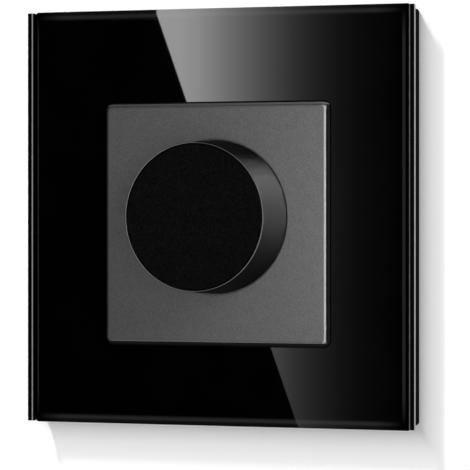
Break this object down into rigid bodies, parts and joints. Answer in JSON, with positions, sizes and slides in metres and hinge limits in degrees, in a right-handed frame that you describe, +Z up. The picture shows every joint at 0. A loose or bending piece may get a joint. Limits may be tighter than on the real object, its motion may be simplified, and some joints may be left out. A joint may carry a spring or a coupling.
{
  "type": "rotary dimmer switch",
  "caption": "Square black glass wall dimmer with a dark grey centre plate, a turn-and-push rotary knob, and a flush-box insert with spreading claws.",
  "frame": {"origin": "on the knob's axis, in the wall plane, midway between the two box screws", "axes": "+Z up, +X right as one faces the dimmer, +Y into the wall; the knob faces -Y"},
  "size_m": [0.086, 0.0414, 0.086],
  "materials": {
    "frame_glass": "polished, painted black behind",
    "rail_aluminium": "black front, bright cut edges",
    "frame_plastic": "fine moulded texture",
    "cover_paint": "fine sandy anthracite paint",
    "knob_paint": "satin dark grey",
    "knob_face_black": "satin black",
    "zinc_steel": "zinc plated",
    "spring_steel": "bright spring steel",
    "shaft_metal": "turned",
    "turned_brass": "turned",
    "contact_metal": "rolled contact metal, tinned pins",
    "housing_plastic": "light grey moulding",
    "terminal_plastic": "dark grey moulding",
    "screw_steel": "zinc plated, slotted",
    "board_laminate": "green lacquered laminate",
    "pot_case_plastic": "brown pressed laminate",
    "track_carbon": "carbon film",
    "switch_plastic": "black moulding",
    "slider_plastic": "natural white moulding",
    "sink_aluminium": "rolled sheet",
    "package_epoxy": "moulded epoxy, tinned leads",
    "core_powder": "coated iron powder",
    "winding_copper": "enamelled copper wire",
    "film_case": "moulded box",
    "can_sleeve": "sleeved can",
    "resistor_body": "lacquered",
    "fuse_glass": "clear tube, plated caps",
    "trimmer_plastic": "blue moulding",
    "trimmer_rotor_plastic": "white moulding"
  },
  "bodies": {
    "housing": {"glass_panel": "frame_glass", "right_side_rail": "rail_aluminium", "left_side_rail": "rail_aluminium", "carrier_frame": "frame_plastic", "base_frame": "frame_plastic", "centre_plate": "cover_paint", "bushing": "turned_brass", "plate_nut": "turned_brass", "lock_washer": "zinc_steel", "bushing_nut": "zinc_steel", "support_plate": "zinc_steel", "housing_front": "housing_plastic", "housing_rear": "housing_plastic", "housing_screws": "zinc_steel", "pot_case": "pot_case_plastic", "resistive_track": "track_carbon", "pot_terminals": "contact_metal", "circuit_board": "board_laminate", "switch_case": "switch_plastic", "fixed_contacts": "contact_metal", "plunger_spring": "spring_steel", "heat_sink": "sink_aluminium", "triac": "package_epoxy", "heat_sink_screw": "zinc_steel", "choke_core": "core_powder", "choke_winding": "winding_copper", "film_capacitor": "film_case", "electrolytic_capacitor": "can_sleeve", "control_chip": "package_epoxy", "resistors": "resistor_body", "fuse": "fuse_glass", "fuse_clips": "contact_metal", "trimmer_body": "trimmer_plastic", "terminal_block": "terminal_plastic", "terminal_cages": "turned_brass", "terminal_screws": "screw_steel", "claw_pins": "zinc_steel"},
    "rotor": {"rotor": "slider_plastic", "wiper": "contact_metal"},
    "knob": {"knob": "knob_paint", "knob_face": "knob_face_black", "knob_spring_clip": "spring_steel", "shaft": "shaft_metal", "retaining_ring": "spring_steel"},
    "plunger": {"switch_plunger": "slider_plastic", "contact_bridge": "contact_metal"},
    "trimmer": {"trimmer_rotor": "trimmer_rotor_plastic"},
    "right_claw": {"right_claw": "zinc_steel"},
    "left_claw": {"left_claw": "zinc_steel"},
    "right_claw_screw": {"right_claw_screw": "zinc_steel"},
    "left_claw_screw": {"left_claw_screw": "zinc_steel"}
  },
  "joints": [
    {"name": "knob_turn", "type": "hinge", "parent": "housing", "child": "rotor", "pos_m": [0, 0, 0], "axis": [0, 1, 0], "range_deg": [-135, 135]},
    {"name": "knob_push", "type": "slide", "parent": "rotor", "child": "knob", "axis": [0, 1, 0], "range_m": [0, 0.0007], "stiffness_N_per_m": 500, "springref_m": -0.003, "deforming": ["plunger_spring"]},
    {"name": "plunger_push", "type": "slide", "parent": "housing", "child": "plunger", "axis": [0, 1, 0], "range_m": [0, 0.0007]},
    {"name": "trimmer_turn", "type": "hinge", "parent": "housing", "child": "trimmer", "pos_m": [0.0075, 0, -0.0152], "axis": [0, 1, 0], "range_deg": [-120, 120]},
    {"name": "right_claw_screw_turn", "type": "hinge", "parent": "housing", "child": "right_claw_screw", "pos_m": [0.0263, 0, 0], "axis": [0, 1, 0], "range_deg": [0, 960]},
    {"name": "right_claw_swing", "type": "hinge", "parent": "housing", "child": "right_claw", "pos_m": [0.0224, 0.0042, 0], "axis": [0, 0, -1], "range_deg": [0, 20]},
    {"name": "left_claw_screw_turn", "type": "hinge", "parent": "housing", "child": "left_claw_screw", "pos_m": [-0.0263, 0, 0], "axis": [0, 1, 0], "range_deg": [0, 960]},
    {"name": "left_claw_swing", "type": "hinge", "parent": "housing", "child": "left_claw", "pos_m": [-0.0224, 0.0042, 0], "axis": [0, 0, 1], "range_deg": [0, 20]}
  ],
  "couplings": [
    {"joint": "plunger_push", "follows": "knob_push", "ratio": 1},
    {"joint": "right_claw_swing", "follows": "right_claw_screw_turn", "ratio": 0.020833},
    {"joint": "left_claw_swing", "follows": "left_claw_screw_turn", "ratio": 0.020833}
  ]
}
